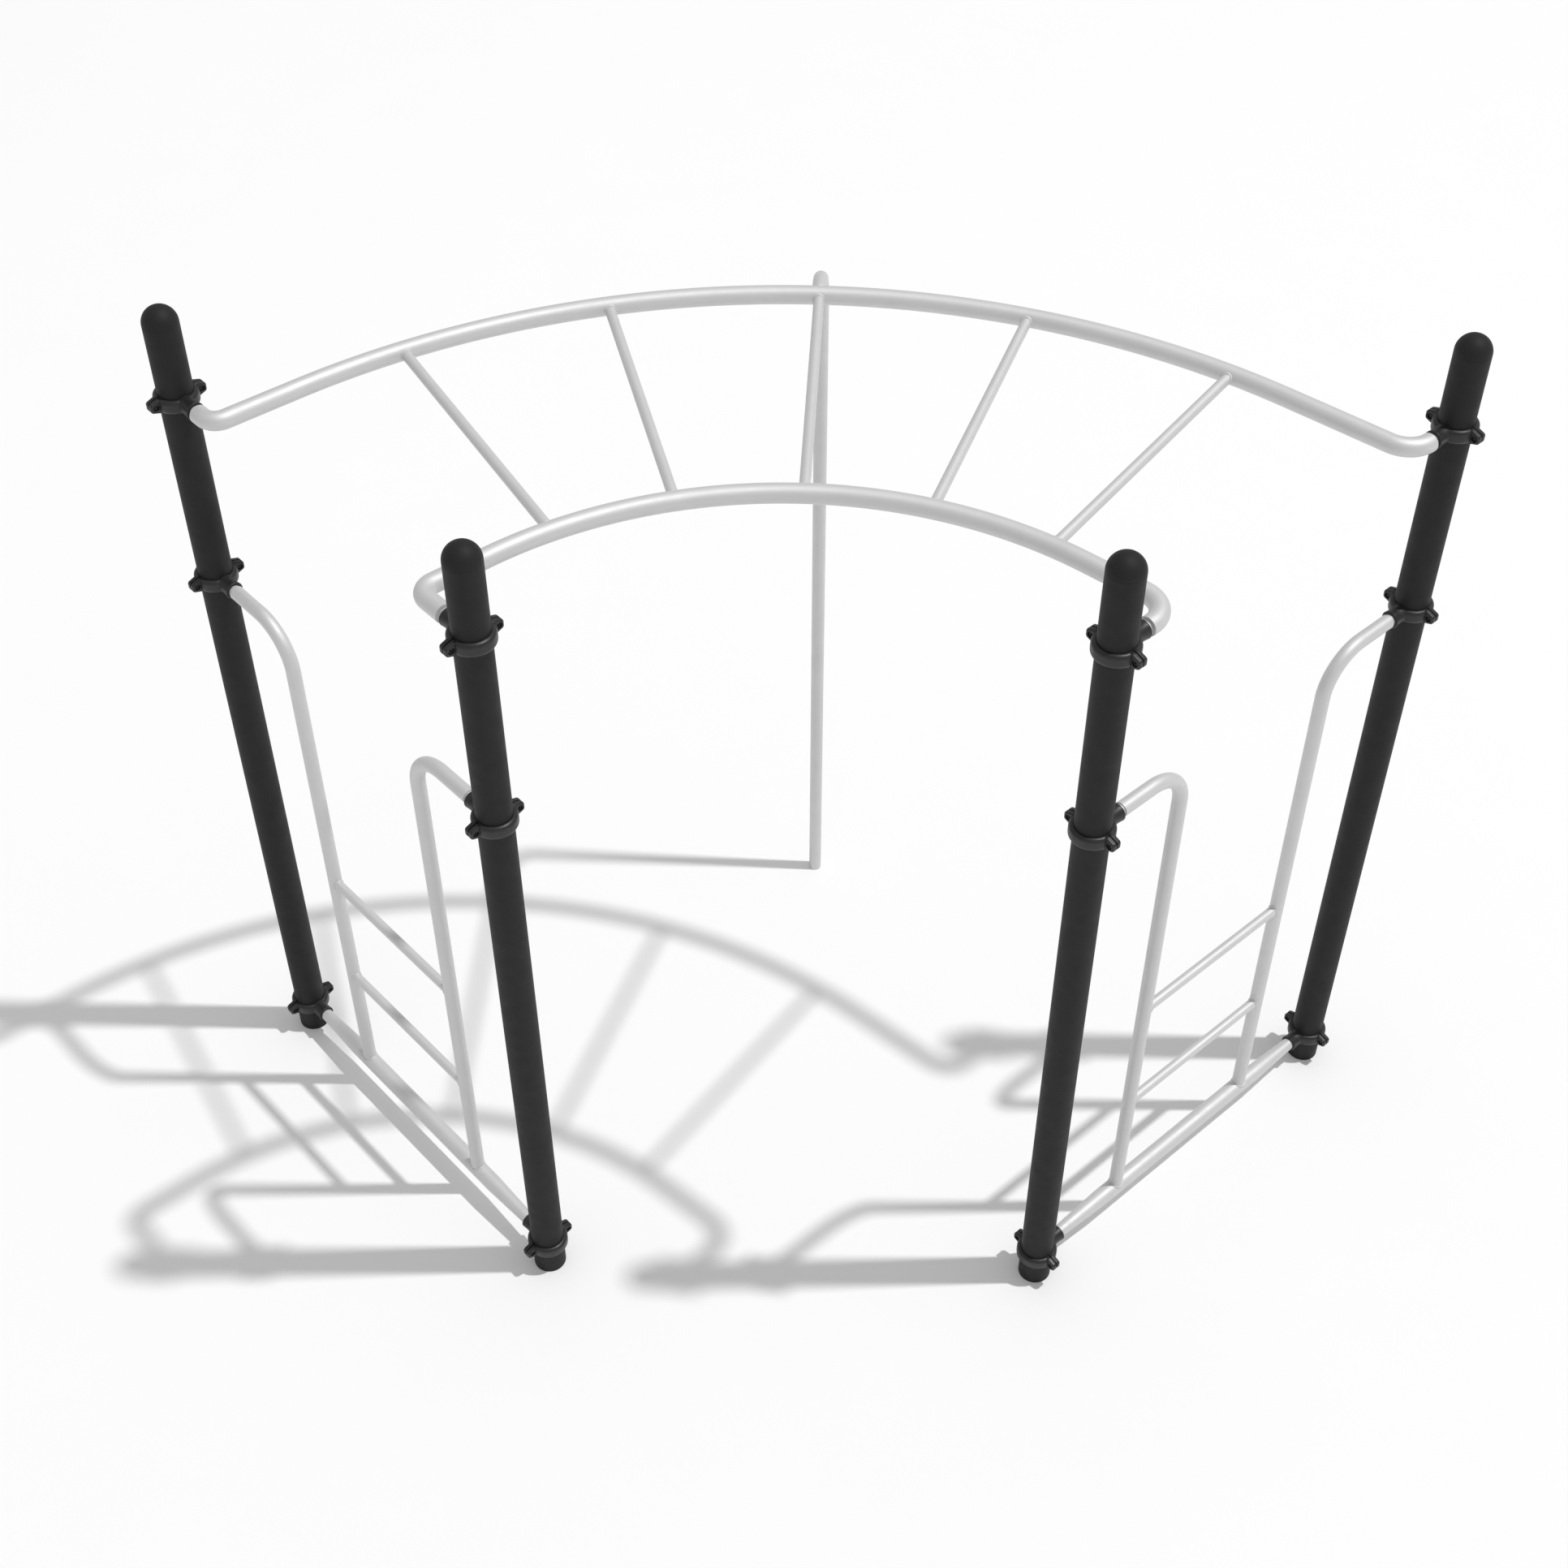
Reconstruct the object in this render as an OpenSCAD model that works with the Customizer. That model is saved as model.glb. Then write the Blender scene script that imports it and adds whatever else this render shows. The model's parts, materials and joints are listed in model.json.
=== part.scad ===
// Curved overhead ladder (monkey bars) on four posts.
// Two bent rails run a quarter turn between two end frames, and five rungs join them.
// Each end frame has a climbing ladder held by two-part clamps, and one leg props the outer rail.
// Frame: +Z up, ground at z = 0, X = 0 is the middle plane, -Y is the inside of the curve.
// "Inner" posts stand on the inside of the curve and "outer" posts on the outside.

/* [Posts] */
// Outside diameter of a post tube
post_od = 88.9; // [70:0.1:115]
// Wall thickness of a post tube
post_wall = 3.2; // [2:0.1:6]
// Height of a post from the ground to the top of its dome cap
post_height = 2580; // [2100:10:3200]
// Distance from the fan centre to the axis of an inner post
inner_post_reach = 970; // [800:1:1400]
// Distance between the two posts of one end frame, axis to axis
end_span = 1192; // [950:1:1600]
// Angle from the middle plane to an end frame
fan_half_angle = 45; // [35:1:55]
// How much further back the right-hand end frame stands than the left-hand one
end_stagger = 34; // [0:1:60]
// Wall thickness of the dome cap
cap_wall = 3; // [2:0.1:5]
// Length of the plug that holds the cap in the post
cap_plug_length = 35; // [15:1:60]
// Gap between the cap's plug and the post's bore, on each side
cap_clearance = 0.2; // [0.05:0.05:0.6]

/* [Overhead ladder] */
// Outside diameter of the two curved rails
rail_od = 48.3; // [40:0.1:60]
// Wall thickness of every bent or straight tube of the ladders
tube_wall = 2.9; // [1.5:0.1:4]
// Height of the rails' centre line above the ground
rail_height = 2328; // [1900:1:2900]
// Straight length between the outer rail's right-hand bend and its reduced end
outer_rail_stub = 2.35; // [0.5:0.05:80]
// Straight length between the inner rail's right-hand bend and its reduced end
inner_rail_stub = 13.45; // [0.5:0.05:80]
// How far the rails' arc centre lies behind the fan centre
arc_centre_shift = 178; // [120:1:240]
// Angle from the middle plane to where the rails' curve runs on straight, on the left
left_arc_angle = 42; // [36:0.5:44]
// Angle from the middle plane to where the rails' curve runs on straight, on the right
right_arc_angle = 38; // [36:0.5:44]
// Centre-line radius of the bend at the left-hand end of a rail
left_bend_radius = 40; // [30:1:90]
// Centre-line radius of the bend at the right-hand end of a rail
right_bend_radius = 70; // [30:1:90]
// Outside diameter of the hand rungs and the climbing rungs
rung_od = 26.9; // [22:0.1:38]
// Number of hand rungs
rung_count = 5; // [3:2:7]
// Angle between two hand rungs, seen from the arc centre
rung_pitch_angle = 16.6; // [10:0.1:18]

/* [Centre leg] */
// Outside diameter of the leg and of the end ladders' stiles
stile_od = 38.1; // [30:0.1:44]
// Distance from the outer rail's centre line to the leg's vertical axis
leg_offset = 213; // [150:1:300]
// Centre-line radius of the bend at the top of the leg
leg_bend_radius = 185; // [90:1:190]

/* [End ladders] */
// Height of the bottom rail's centre line, and of the low clamps
low_clamp_height = 98; // [60:1:200]
// Height of the stiles' top ends, and of the mid clamps
mid_clamp_height = 1775; // [1400:1:1900]
// Distance between the two stiles of one ladder, axis to axis
stile_spacing = 542; // [420:1:640]
// Centre-line radius of the bend at the top of a stile
stile_bend_radius = 120; // [80:1:150]
// Distance between a climbing rung and the next one, or the bottom rail
climb_pitch = 390; // [250:1:450]
// Outside diameter of the bottom rail
bottom_rail_od = 48.3; // [40:0.1:60]
// Outside diameter of the bottom rail's narrow ends, beside the clamps
bottom_rail_end_od = 35; // [33:0.1:40]
// Length over which the bottom rail tapers down at each end
bottom_rail_taper = 165; // [60:1:200]

/* [Clamps] */
// Height of a clamp's ring
clamp_height = 38; // [28:1:60]
// Thickness of a clamp's ring at its widest
clamp_wall = 11.5; // [8:0.1:16]
// Gap between the two halves of a clamp
clamp_split = 3; // [1:0.1:6]
// Gap between a clamp's bore and the post, on each side
clamp_clearance = 0.1; // [0.05:0.05:0.5]
// Thickness of one ear
ear_thickness = 12; // [10:0.1:18]
// Distance from the post's surface to a clamp bolt's axis
bolt_offset = 18.5; // [16:0.1:26]
// Radius of the rounded corners at the end of an ear
ear_corner = 8; // [4:0.1:9]
// Length of the socket boss from the post's surface to its rim
boss_length = 43.5; // [34:0.1:55]
// Outside diameter of the socket boss at its rim
boss_rim_od = 49; // [46:0.1:64]
// Outside diameter of the socket boss at its waist
boss_waist_od = 45; // [42:0.1:56]
// Width of the chamfer at both ends of a clamp's bore
bore_chamfer = 2.2; // [0.5:0.1:4]
// Outside diameter of a tube's reduced end, which enters the socket
spigot_od = 32; // [26:0.1:34]
// Length of the reduced end inside the socket
spigot_insert = 34; // [20:1:36]
// Gap between a reduced end and its socket, on each side
spigot_clearance = 0.2; // [0.05:0.05:0.5]
// Length of the reduced end that shows between a rim and the full tube
spigot_reveal = 8; // [2:0.5:10]
// Length of the cone from the reduced end to the full rail
spigot_cone = 3; // [2:0.5:12]
// Length of the step from the reduced end to the full stile
stile_step = 1; // [0.5:0.5:6]

/* [Fasteners] */
// Diameter of a clamp bolt
bolt_d = 8; // [6:1:10]
// Diameter of a clamp bolt's head
bolt_head_d = 13; // [10:0.5:16]
// Height of a clamp bolt's head
bolt_head_h = 5; // [3:0.1:6]
// Width across the flats of the drive socket in a bolt head
bolt_drive_af = 5; // [3:0.5:6]
// Depth of the drive socket in a bolt head
bolt_drive_depth = 2.6; // [1:0.1:3]
// Width across the flats of a clamp nut
nut_af = 13; // [10:0.5:14]
// Height of a clamp nut
nut_h = 4.5; // [3:0.1:6]
// Gap round a bolt in its hole, and round a head or nut in its recess, on each side
bolt_clearance = 0.4; // [0.2:0.1:1]
// Depth of the recess for a head or a nut
recess_depth = 8; // [4:0.1:9]

/* [Hidden] */
$fn = 64;
// Facets of a full turn on arcs of a metre or more
ARC_FN = 256;
// Extra length that makes a cut run past a face
CUT = 1;
// A rail's straight lengths lap over its bends by this much, and are this much thicker
LAP = 1.2;
LAP_GROWTH = 0.4;

BLACK_COAT = "#2b2c2d";
SILVER_COAT = "#cfd1d3";
BLACK_OXIDE = "#222324";

SIDES = [
    [-1, "left", left_arc_angle, left_bend_radius],
    [1, "right", right_arc_angle, right_bend_radius]
];
ROWS = [[0, "inner"], [1, "outer"]];
LEVELS = [
    ["low", low_clamp_height],
    ["mid", mid_clamp_height],
    ["top", rail_height]
];

post_r = post_od / 2;
post_tube_height = post_height - post_r;
clamp_bore_r = post_r + clamp_clearance;
ring_outer_r = post_r + clamp_wall;
ring_edge_r = clamp_wall - 0.5;
bolt_reach = post_r + bolt_offset;
ear_tip_reach = bolt_reach + 14;
ear_face = clamp_split / 2 + ear_thickness;
recess_floor = ear_face - recess_depth;
rim_reach = post_r + boss_length;
spigot_end_reach = rim_reach - spigot_insert;
shoulder_reach = rim_reach + spigot_reveal;
full_rail_reach = shoulder_reach + spigot_cone;
full_stile_reach = shoulder_reach + stile_step;
outer_rail_radius = fitted_radius(inner_post_reach + end_span, outer_rail_stub, 1);
inner_rail_radius = fitted_radius(inner_post_reach, inner_rail_stub, -1);
leg_radius = outer_rail_radius + leg_offset;
stile_positions = [
    (end_span - stile_spacing) / 2,
    (end_span + stile_spacing) / 2
];
climb_heights = [low_clamp_height + climb_pitch, low_clamp_height + 2 * climb_pitch];

// The frame's origin is under the middle of the object's box.
box_back = arc_centre_shift + leg_radius + stile_od / 2;
box_front = inner_post_reach * cos(fan_half_angle)
    - ear_tip_reach * sin(fan_half_angle) - ear_face * cos(fan_half_angle) - end_stagger / 2;
fan_y = -(box_back + box_front) / 2;
arc_y = fan_y + arc_centre_shift;

function post_name(side, row) = str(SIDES[side][1], "_", ROWS[row][1]);
function rung_angle(i) = (i - (rung_count - 1) / 2) * rung_pitch_angle;

// At each end a rail's arc runs on straight to a corner on the end frame's line, where it bends.
// turn is +1 where the rail bends outwards to an outer post, and -1 where it bends back to an
// inner post. shift is how far that line starts in front of the arc centre.
function line_shift(side) = arc_centre_shift - SIDES[side][0] * end_stagger / 2;
// Distance along the line to the corner
function corner_reach(radius, arc_angle, shift) =
    (radius + shift * cos(arc_angle)) / cos(fan_half_angle - arc_angle);
// Angle through which a rail bends at a corner
function corner_sweep(side, turn) = 90 - turn * (fan_half_angle - SIDES[side][2]);
// Distance from the corner to either end of its bend
function bend_set_back(side, turn) = SIDES[side][3] * tan(corner_sweep(side, turn) / 2);
// Arc radius that leaves this stub between the right-hand bend and the reduced end
function fitted_radius(post_reach, stub, turn) =
    (post_reach - turn * (full_rail_reach + stub + bend_set_back(1, turn)))
    * cos(fan_half_angle - right_arc_angle)
    - line_shift(1) * cos(right_arc_angle);
// Length of the straight from the arc's end to the corner
function corner_run(radius, arc_angle, shift) =
    (radius * sin(fan_half_angle - arc_angle) + shift * sin(fan_half_angle))
    / cos(fan_half_angle - arc_angle);

// ---- Placing ----

// The end frame's own frame: origin on the ground at the inner post's axis, +X to the outer post
module at_end(side) {
    sign = SIDES[side][0];
    translate([0, fan_y + sign * end_stagger / 2, 0])
        rotate(90 - sign * fan_half_angle)
            translate([inner_post_reach, 0, 0])
                children();
}

// A post's own frame: origin on the ground at its axis, +X to the other post of its end
module at_post(side, row) {
    at_end(side)
        translate([row * end_span, 0, 0])
            rotate(row * 180)
                children();
}

// ---- Shapes ----

// A cylinder along +X that starts at x
module rod_x(x, length, d) {
    translate([x, 0, 0])
        rotate([0, 90, 0])
            cylinder(h = length, d = d);
}

// A cone along +X that starts at x
module cone_x(x, length, d_start, d_end) {
    translate([x, 0, 0])
        rotate([0, 90, 0])
            cylinder(h = length, d1 = d_start, d2 = d_end);
}

// A piece of a torus in the XY plane, from angle start over angle sweep
module bent_rod(radius, start, sweep, d) {
    rotate(start)
        rotate_extrude(angle = sweep, $fn = ARC_FN)
            translate([radius, 0])
                circle(d = d, $fn = 64);
}

// The reduced end of a tube, from inside a post's socket out to the full tube.
// step is the length from the reduced end to the full tube.
// shrink is taken off every diameter, and over runs past the end.
module spigot_x(step, tube_d, shrink, over) {
    rod_x(spigot_end_reach - over, spigot_insert + spigot_reveal + over, spigot_od - shrink);
    cone_x(shoulder_reach, step, spigot_od - shrink, tube_d - shrink);
}

// ---- Posts ----

module post() {
    color(BLACK_COAT)
        difference() {
            cylinder(h = post_tube_height, d = post_od);
            translate([0, 0, -CUT])
                cylinder(h = post_tube_height + 2 * CUT, d = post_od - 2 * post_wall);
        }
}

// The plug stands in the tube and the dome rests on the tube's end
module post_cap() {
    plug_d = post_od - 2 * post_wall - 2 * cap_clearance;
    color(BLACK_COAT)
        translate([0, 0, post_tube_height])
            difference() {
                union() {
                    intersection() {
                        sphere(d = post_od);
                        cylinder(h = post_od, d = 2 * post_od);
                    }
                    translate([0, 0, -cap_plug_length])
                        cylinder(h = cap_plug_length + CUT, d = plug_d);
                }
                sphere(d = plug_d - 2 * cap_wall);
                translate([0, 0, -cap_plug_length - CUT])
                    cylinder(h = cap_plug_length + CUT, d = plug_d - 2 * cap_wall);
            }
}

// ---- Clamps ----

// Section of the ring: flat inside, rounded outside
module ring_section() {
    half_flat = clamp_height / 2 - ring_edge_r;
    edge_x = ring_outer_r - ring_edge_r;
    polygon([
        [post_r - ring_edge_r, -clamp_height / 2],
        [edge_x, -clamp_height / 2],
        [edge_x, 0],
        [edge_x, clamp_height / 2],
        [post_r - ring_edge_r, clamp_height / 2]
    ]);
    translate([edge_x - CUT, -half_flat])
        square([ring_edge_r + CUT, 2 * half_flat]);
    for (z = [-half_flat, half_flat])
        translate([edge_x, z])
            circle(r = ring_edge_r);
}

// Outline of the ears, across the post: full height at the ring, narrower at the tip
module ear_outline() {
    root = [bolt_reach - 11, clamp_height / 2 - ear_corner];
    tip = [ear_tip_reach - ear_corner, clamp_height / 2 - ear_corner - 6];
    slope = atan2(root[1] - tip[1], tip[0] - root[0]);
    normal = ear_corner * [sin(slope), cos(slope)];
    polygon([
        [-root[0], -root[1] - ear_corner],
        [root[0], -root[1] - ear_corner],
        [root[0] + normal[0], -root[1] - normal[1]],
        [tip[0] + normal[0], -tip[1] - normal[1]],
        [ear_tip_reach, -tip[1]],
        [ear_tip_reach, tip[1]],
        [tip[0] + normal[0], tip[1] + normal[1]],
        [root[0] + normal[0], root[1] + normal[1]],
        [root[0], root[1] + ear_corner],
        [-root[0], root[1] + ear_corner],
        [-root[0] - normal[0], root[1] + normal[1]],
        [-tip[0] - normal[0], tip[1] + normal[1]],
        [-ear_tip_reach, tip[1]],
        [-ear_tip_reach, -tip[1]],
        [-tip[0] - normal[0], -tip[1] - normal[1]],
        [-root[0] - normal[0], -root[1] - normal[1]]
    ]);
    for (x = [-1, 1], p = [root, tip], z = [-1, 1])
        translate([x * p[0], z * p[1]])
            circle(r = ear_corner);
}

// One half of a clamp on the +X side of the split: half a ring with an ear at each end
module half_clamp() {
    difference() {
        union() {
            intersection() {
                rotate_extrude()
                    ring_section();
                translate([clamp_split / 2, -2 * post_od, -clamp_height])
                    cube([2 * post_od, 4 * post_od, 2 * clamp_height]);
            }
            translate([clamp_split / 2, 0, 0])
                rotate([90, 0, 90])
                    linear_extrude(height = ear_thickness)
                        ear_outline();
        }
        cylinder(h = 2 * clamp_height, r = clamp_bore_r, center = true);
        for (end = [0, 1])
            mirror([0, 0, end])
                translate([0, 0, clamp_height / 2 - bore_chamfer])
                    cylinder(
                        h = 2 * bore_chamfer,
                        r1 = clamp_bore_r,
                        r2 = clamp_bore_r + 2 * bore_chamfer
                    );
        for (y = [-bolt_reach, bolt_reach])
            translate([0, y, 0]) {
                rod_x(0, ear_face + CUT, bolt_d + 2 * bolt_clearance);
                rod_x(recess_floor, recess_depth + CUT, recess_d());
            }
    }
}

function recess_d() = max(bolt_head_d, nut_af / cos(30)) + 2 * bolt_clearance;

// Trumpet-shaped boss along +X with a waist between the ring and the rim
module socket_boss() {
    start = post_r;
    length = rim_reach - start;
    rim_r = boss_rim_od / 2;
    waist_r = boss_waist_od / 2;
    flare = rim_r - waist_r;
    flare_radius = (flare * flare + length * length / 4) / (2 * flare);
    translate([start, 0, 0])
        rotate([0, 90, 0])
            rotate_extrude()
                difference() {
                    square([rim_r, length]);
                    translate([waist_r + flare_radius, length / 2])
                        circle(r = flare_radius, $fn = ARC_FN);
                }
}

module clamp_socket_half() {
    color(BLACK_COAT)
        difference() {
            union() {
                half_clamp();
                socket_boss();
            }
            cylinder(h = 2 * clamp_height, r = clamp_bore_r, center = true);
            rod_x(spigot_end_reach, spigot_insert + CUT, spigot_od + 2 * spigot_clearance);
        }
}

module clamp_back_half() {
    color(BLACK_COAT)
        rotate(180)
            half_clamp();
}

// ---- Overhead ladder ----

// One end of a rail as a solid, in the arc centre's frame, drawn as if on the right
module rail_end_solid(radius, side, turn, shrink, over) {
    arc_angle = SIDES[side][2];
    shift = line_shift(side);
    d = rail_od - shrink;
    bend = SIDES[side][3];
    sweep = corner_sweep(side, turn);
    set_back = bend_set_back(side, turn);
    post_reach = inner_post_reach + (turn > 0 ? end_span : 0);
    run = corner_run(radius, arc_angle, shift) - set_back;
    stub_end = turn * (post_reach - corner_reach(radius, arc_angle, shift)) - set_back;
    rotate(-arc_angle) {
        translate([0, radius, 0])
            rod_x(-LAP, run + 2 * LAP, d + LAP_GROWTH);
        translate([run, radius + turn * bend, 0])
            bent_rod(bend, turn > 0 ? -90 : 90 - sweep, sweep, d);
    }
    translate([0, -shift, 0])
        rotate(90 - fan_half_angle)
            translate([post_reach, 0, 0])
                rotate(turn > 0 ? 180 : 0) {
                    spigot_x(spigot_cone, rail_od, shrink, over);
                    rod_x(full_rail_reach, stub_end + LAP - full_rail_reach, d + LAP_GROWTH);
                }
}

// Solid along a whole rail, with shrink taken off every diameter
module rail_solid(radius, turn, shrink, over) {
    bent_rod(radius, 90 - right_arc_angle, left_arc_angle + right_arc_angle, rail_od - shrink);
    rail_end_solid(radius, 1, turn, shrink, over);
    mirror([1, 0, 0])
        rail_end_solid(radius, 0, turn, shrink, over);
}

module overhead_rail(radius, turn) {
    color(SILVER_COAT)
        translate([0, arc_y, rail_height])
            difference() {
                rail_solid(radius, turn, 0, 0);
                rail_solid(radius, turn, 2 * tube_wall, CUT);
            }
}

// Both rails' arcs as solids, which cut the ends of the rungs and the leg to fit
module rail_arcs(radii) {
    half = rung_angle(rung_count - 1) + 4;
    for (radius = radii)
        bent_rod(radius, 90 - half, 2 * half, rail_od);
}

module overhead_rung(i) {
    color(SILVER_COAT)
        translate([0, arc_y, rail_height])
            difference() {
                rotate(90 - rung_angle(i))
                    difference() {
                        rod_x(inner_rail_radius, outer_rail_radius - inner_rail_radius, rung_od);
                        rod_x(inner_rail_radius - CUT, outer_rail_radius - inner_rail_radius + 2 * CUT,
                            rung_od - 2 * tube_wall);
                    }
                rail_arcs([inner_rail_radius, outer_rail_radius]);
            }
}

// Solid along the leg: a stub behind the outer rail, a bend and a straight drop to the ground
module leg_solid(d, over) {
    drop = rail_height - leg_bend_radius;
    translate([outer_rail_radius, 0, 0])
        rod_x(0, leg_offset - leg_bend_radius, d);
    translate([leg_radius - leg_bend_radius, 0, -leg_bend_radius])
        rotate([90, 0, 0])
            bent_rod(leg_bend_radius, 0, 90, d);
    translate([leg_radius, 0, -rail_height - over])
        cylinder(h = drop + over, d = d);
}

module centre_leg() {
    color(SILVER_COAT)
        translate([0, arc_y, rail_height])
            difference() {
                rotate(90)
                    difference() {
                        leg_solid(stile_od, 0);
                        leg_solid(stile_od - 2 * tube_wall, CUT);
                    }
                rail_arcs([outer_rail_radius]);
            }
}

// ---- End ladders, in the end frame's own frame ----

module bottom_rail_solid(shrink, over) {
    taper_start = rim_reach + 1;
    main_start = taper_start + bottom_rail_taper;
    end_d = bottom_rail_end_od - shrink;
    for (row = [0, 1])
        translate([row * end_span, 0, 0])
            mirror([row, 0, 0]) {
                rod_x(
                    spigot_end_reach - over,
                    taper_start - spigot_end_reach + over,
                    spigot_od - shrink
                );
                cone_x(taper_start, bottom_rail_taper, end_d, bottom_rail_od - shrink);
            }
    rod_x(main_start, end_span - 2 * main_start, bottom_rail_od - shrink);
}

module ladder_bottom_rail() {
    color(SILVER_COAT)
        translate([0, 0, low_clamp_height])
            difference() {
                bottom_rail_solid(0, 0);
                bottom_rail_solid(2 * tube_wall, CUT);
            }
}

// Solid along the inner post's stile: a socket end, a bend and a straight drop to the bottom rail
module stile_solid(shrink, over) {
    d = stile_od - shrink;
    bend_x = stile_positions[0] - stile_bend_radius;
    drop = mid_clamp_height - stile_bend_radius - low_clamp_height;
    translate([0, 0, mid_clamp_height]) {
        spigot_x(stile_step, stile_od, shrink, over);
        rod_x(full_stile_reach, bend_x - full_stile_reach, d);
    }
    translate([bend_x, 0, mid_clamp_height - stile_bend_radius])
        rotate([90, 0, 0])
            bent_rod(stile_bend_radius, 0, 90, d);
    translate([stile_positions[0], 0, low_clamp_height])
        cylinder(h = drop, d = d);
}

module ladder_stile(row) {
    color(SILVER_COAT)
        translate([row * end_span, 0, 0])
            mirror([row, 0, 0])
                difference() {
                    stile_solid(0, 0);
                    stile_solid(2 * tube_wall, CUT);
                    translate([0, 0, low_clamp_height])
                        rod_x(rim_reach + bottom_rail_taper, end_span / 2, bottom_rail_od);
                }
}

module ladder_rung(height) {
    color(SILVER_COAT)
        difference() {
            translate([0, 0, height])
                difference() {
                    rod_x(stile_positions[0], stile_spacing, rung_od);
                    rod_x(stile_positions[0] - CUT, stile_spacing + 2 * CUT, rung_od - 2 * tube_wall);
                }
            for (x = stile_positions)
                translate([x, 0, height - rung_od])
                    cylinder(h = 2 * rung_od, d = stile_od);
        }
}

// ---- Fasteners, one group for every clamp ----

module each_bolt_place() {
    for (side = [0, 1], row = [0, 1], level = LEVELS, y = [-bolt_reach, bolt_reach])
        at_post(side, row)
            translate([0, y, level[1]])
                children();
}

// The head seats in the back half's recess and the shank ends past the nut
module clamp_bolts() {
    shank_end = recess_floor + nut_h + 0.8;
    color(BLACK_OXIDE)
        each_bolt_place()
            difference() {
                union() {
                    rod_x(-recess_floor - bolt_head_h, bolt_head_h, bolt_head_d);
                    rod_x(-recess_floor - CUT, shank_end + recess_floor + CUT, bolt_d);
                }
                translate([-recess_floor - bolt_head_h - CUT, 0, 0])
                    rotate([0, 90, 0])
                        cylinder(h = bolt_drive_depth + CUT, d = bolt_drive_af / cos(30), $fn = 6);
            }
}

module clamp_nuts() {
    thread_gap = 0.1;
    color(BLACK_OXIDE)
        each_bolt_place()
            translate([recess_floor, 0, 0])
                rotate([0, 90, 0])
                    difference() {
                        cylinder(h = nut_h, d = nut_af / cos(30), $fn = 6);
                        translate([0, 0, -CUT])
                            cylinder(h = nut_h + 2 * CUT, d = bolt_d + 2 * thread_gap);
                    }
}

// ---- Assembly ----

for (s = [0, 1], r = [0, 1]) {
    name = post_name(s, r);
    at_post(s, r) post();
    at_post(s, r) post_cap();
    for (l = LEVELS) {
        at_post(s, r) translate([0, 0, l[1]]) clamp_socket_half();
        at_post(s, r) translate([0, 0, l[1]]) clamp_back_half();
    }
    at_end(s) ladder_stile(r);
}
for (s = [0, 1]) {
    name = SIDES[s][1];
    at_end(s) ladder_bottom_rail();
    at_end(s) ladder_rung(climb_heights[0]);
    at_end(s) ladder_rung(climb_heights[1]);
}
overhead_rail(outer_rail_radius, 1);  // overhead_rail_outer
overhead_rail(inner_rail_radius, -1);  // overhead_rail_inner
for (i = [0 : rung_count - 1])
    overhead_rung(i);
centre_leg();
clamp_bolts();
clamp_nuts();
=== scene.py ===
"""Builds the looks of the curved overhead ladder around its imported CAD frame."""

import json
import logging
import math
from dataclasses import dataclass, field
from enum import Enum
from typing import Callable, Iterable, Sequence

import bmesh
import bpy
from mathutils import Matrix, Vector


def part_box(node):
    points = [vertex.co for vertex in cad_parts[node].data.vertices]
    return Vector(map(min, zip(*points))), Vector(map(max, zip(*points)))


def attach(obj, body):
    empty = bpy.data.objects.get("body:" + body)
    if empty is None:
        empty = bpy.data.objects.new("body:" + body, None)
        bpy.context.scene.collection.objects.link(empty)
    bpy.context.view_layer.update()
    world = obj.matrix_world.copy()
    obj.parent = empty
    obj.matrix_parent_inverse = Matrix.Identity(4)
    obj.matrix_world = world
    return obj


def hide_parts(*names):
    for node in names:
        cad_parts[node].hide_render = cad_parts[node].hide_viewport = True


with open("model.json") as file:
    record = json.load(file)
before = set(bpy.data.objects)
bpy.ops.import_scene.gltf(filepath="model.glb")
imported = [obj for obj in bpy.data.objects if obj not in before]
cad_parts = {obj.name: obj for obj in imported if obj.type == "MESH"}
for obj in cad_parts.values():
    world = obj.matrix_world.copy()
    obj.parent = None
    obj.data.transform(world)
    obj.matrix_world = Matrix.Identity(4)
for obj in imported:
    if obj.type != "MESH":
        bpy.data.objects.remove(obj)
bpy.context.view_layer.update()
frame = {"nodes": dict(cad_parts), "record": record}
LOG = logging.getLogger("monkey_bars")
BODY = "root"
TURN = 2.0 * math.pi
QUARTER = 0.5 * math.pi
# Widths of the small broken edges on cut tubes, castings and fasteners.
EDGE = 0.0006
FINE_EDGE = 0.0004
ACROSS = Vector((1.0, 0.0, 0.0))
BACK = Vector((0.0, 1.0, 0.0))
UP = Vector((0.0, 0.0, 1.0))
Profile = Iterable[tuple[float, Callable[[float], float]]]


class Side(Enum):
    """Which end frame, as seen from the inside of the curve."""

    LEFT = "left"
    RIGHT = "right"


class Row(Enum):
    """Which post of an end frame: on the inside or the outside of the curve."""

    INNER = "inner"
    OUTER = "outer"


class Level(Enum):
    """Which of the three clamps on a post."""

    LOW = "low"
    MID = "mid"
    TOP = "top"


class Surface(Enum):
    """The record's material slots."""

    POST = "post_coat"
    CLAMP = "clamp_coat"
    LADDER = "ladder_coat"
    FASTENER = "fastener"


# ---- Finishes ----


@dataclass(frozen=True)
class Grain:
    """One layer of noise that raises or lowers the surface.

    scale is in cells per metre and height in metres.
    """

    scale: float
    height: float
    detail: float = 3.0


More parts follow.
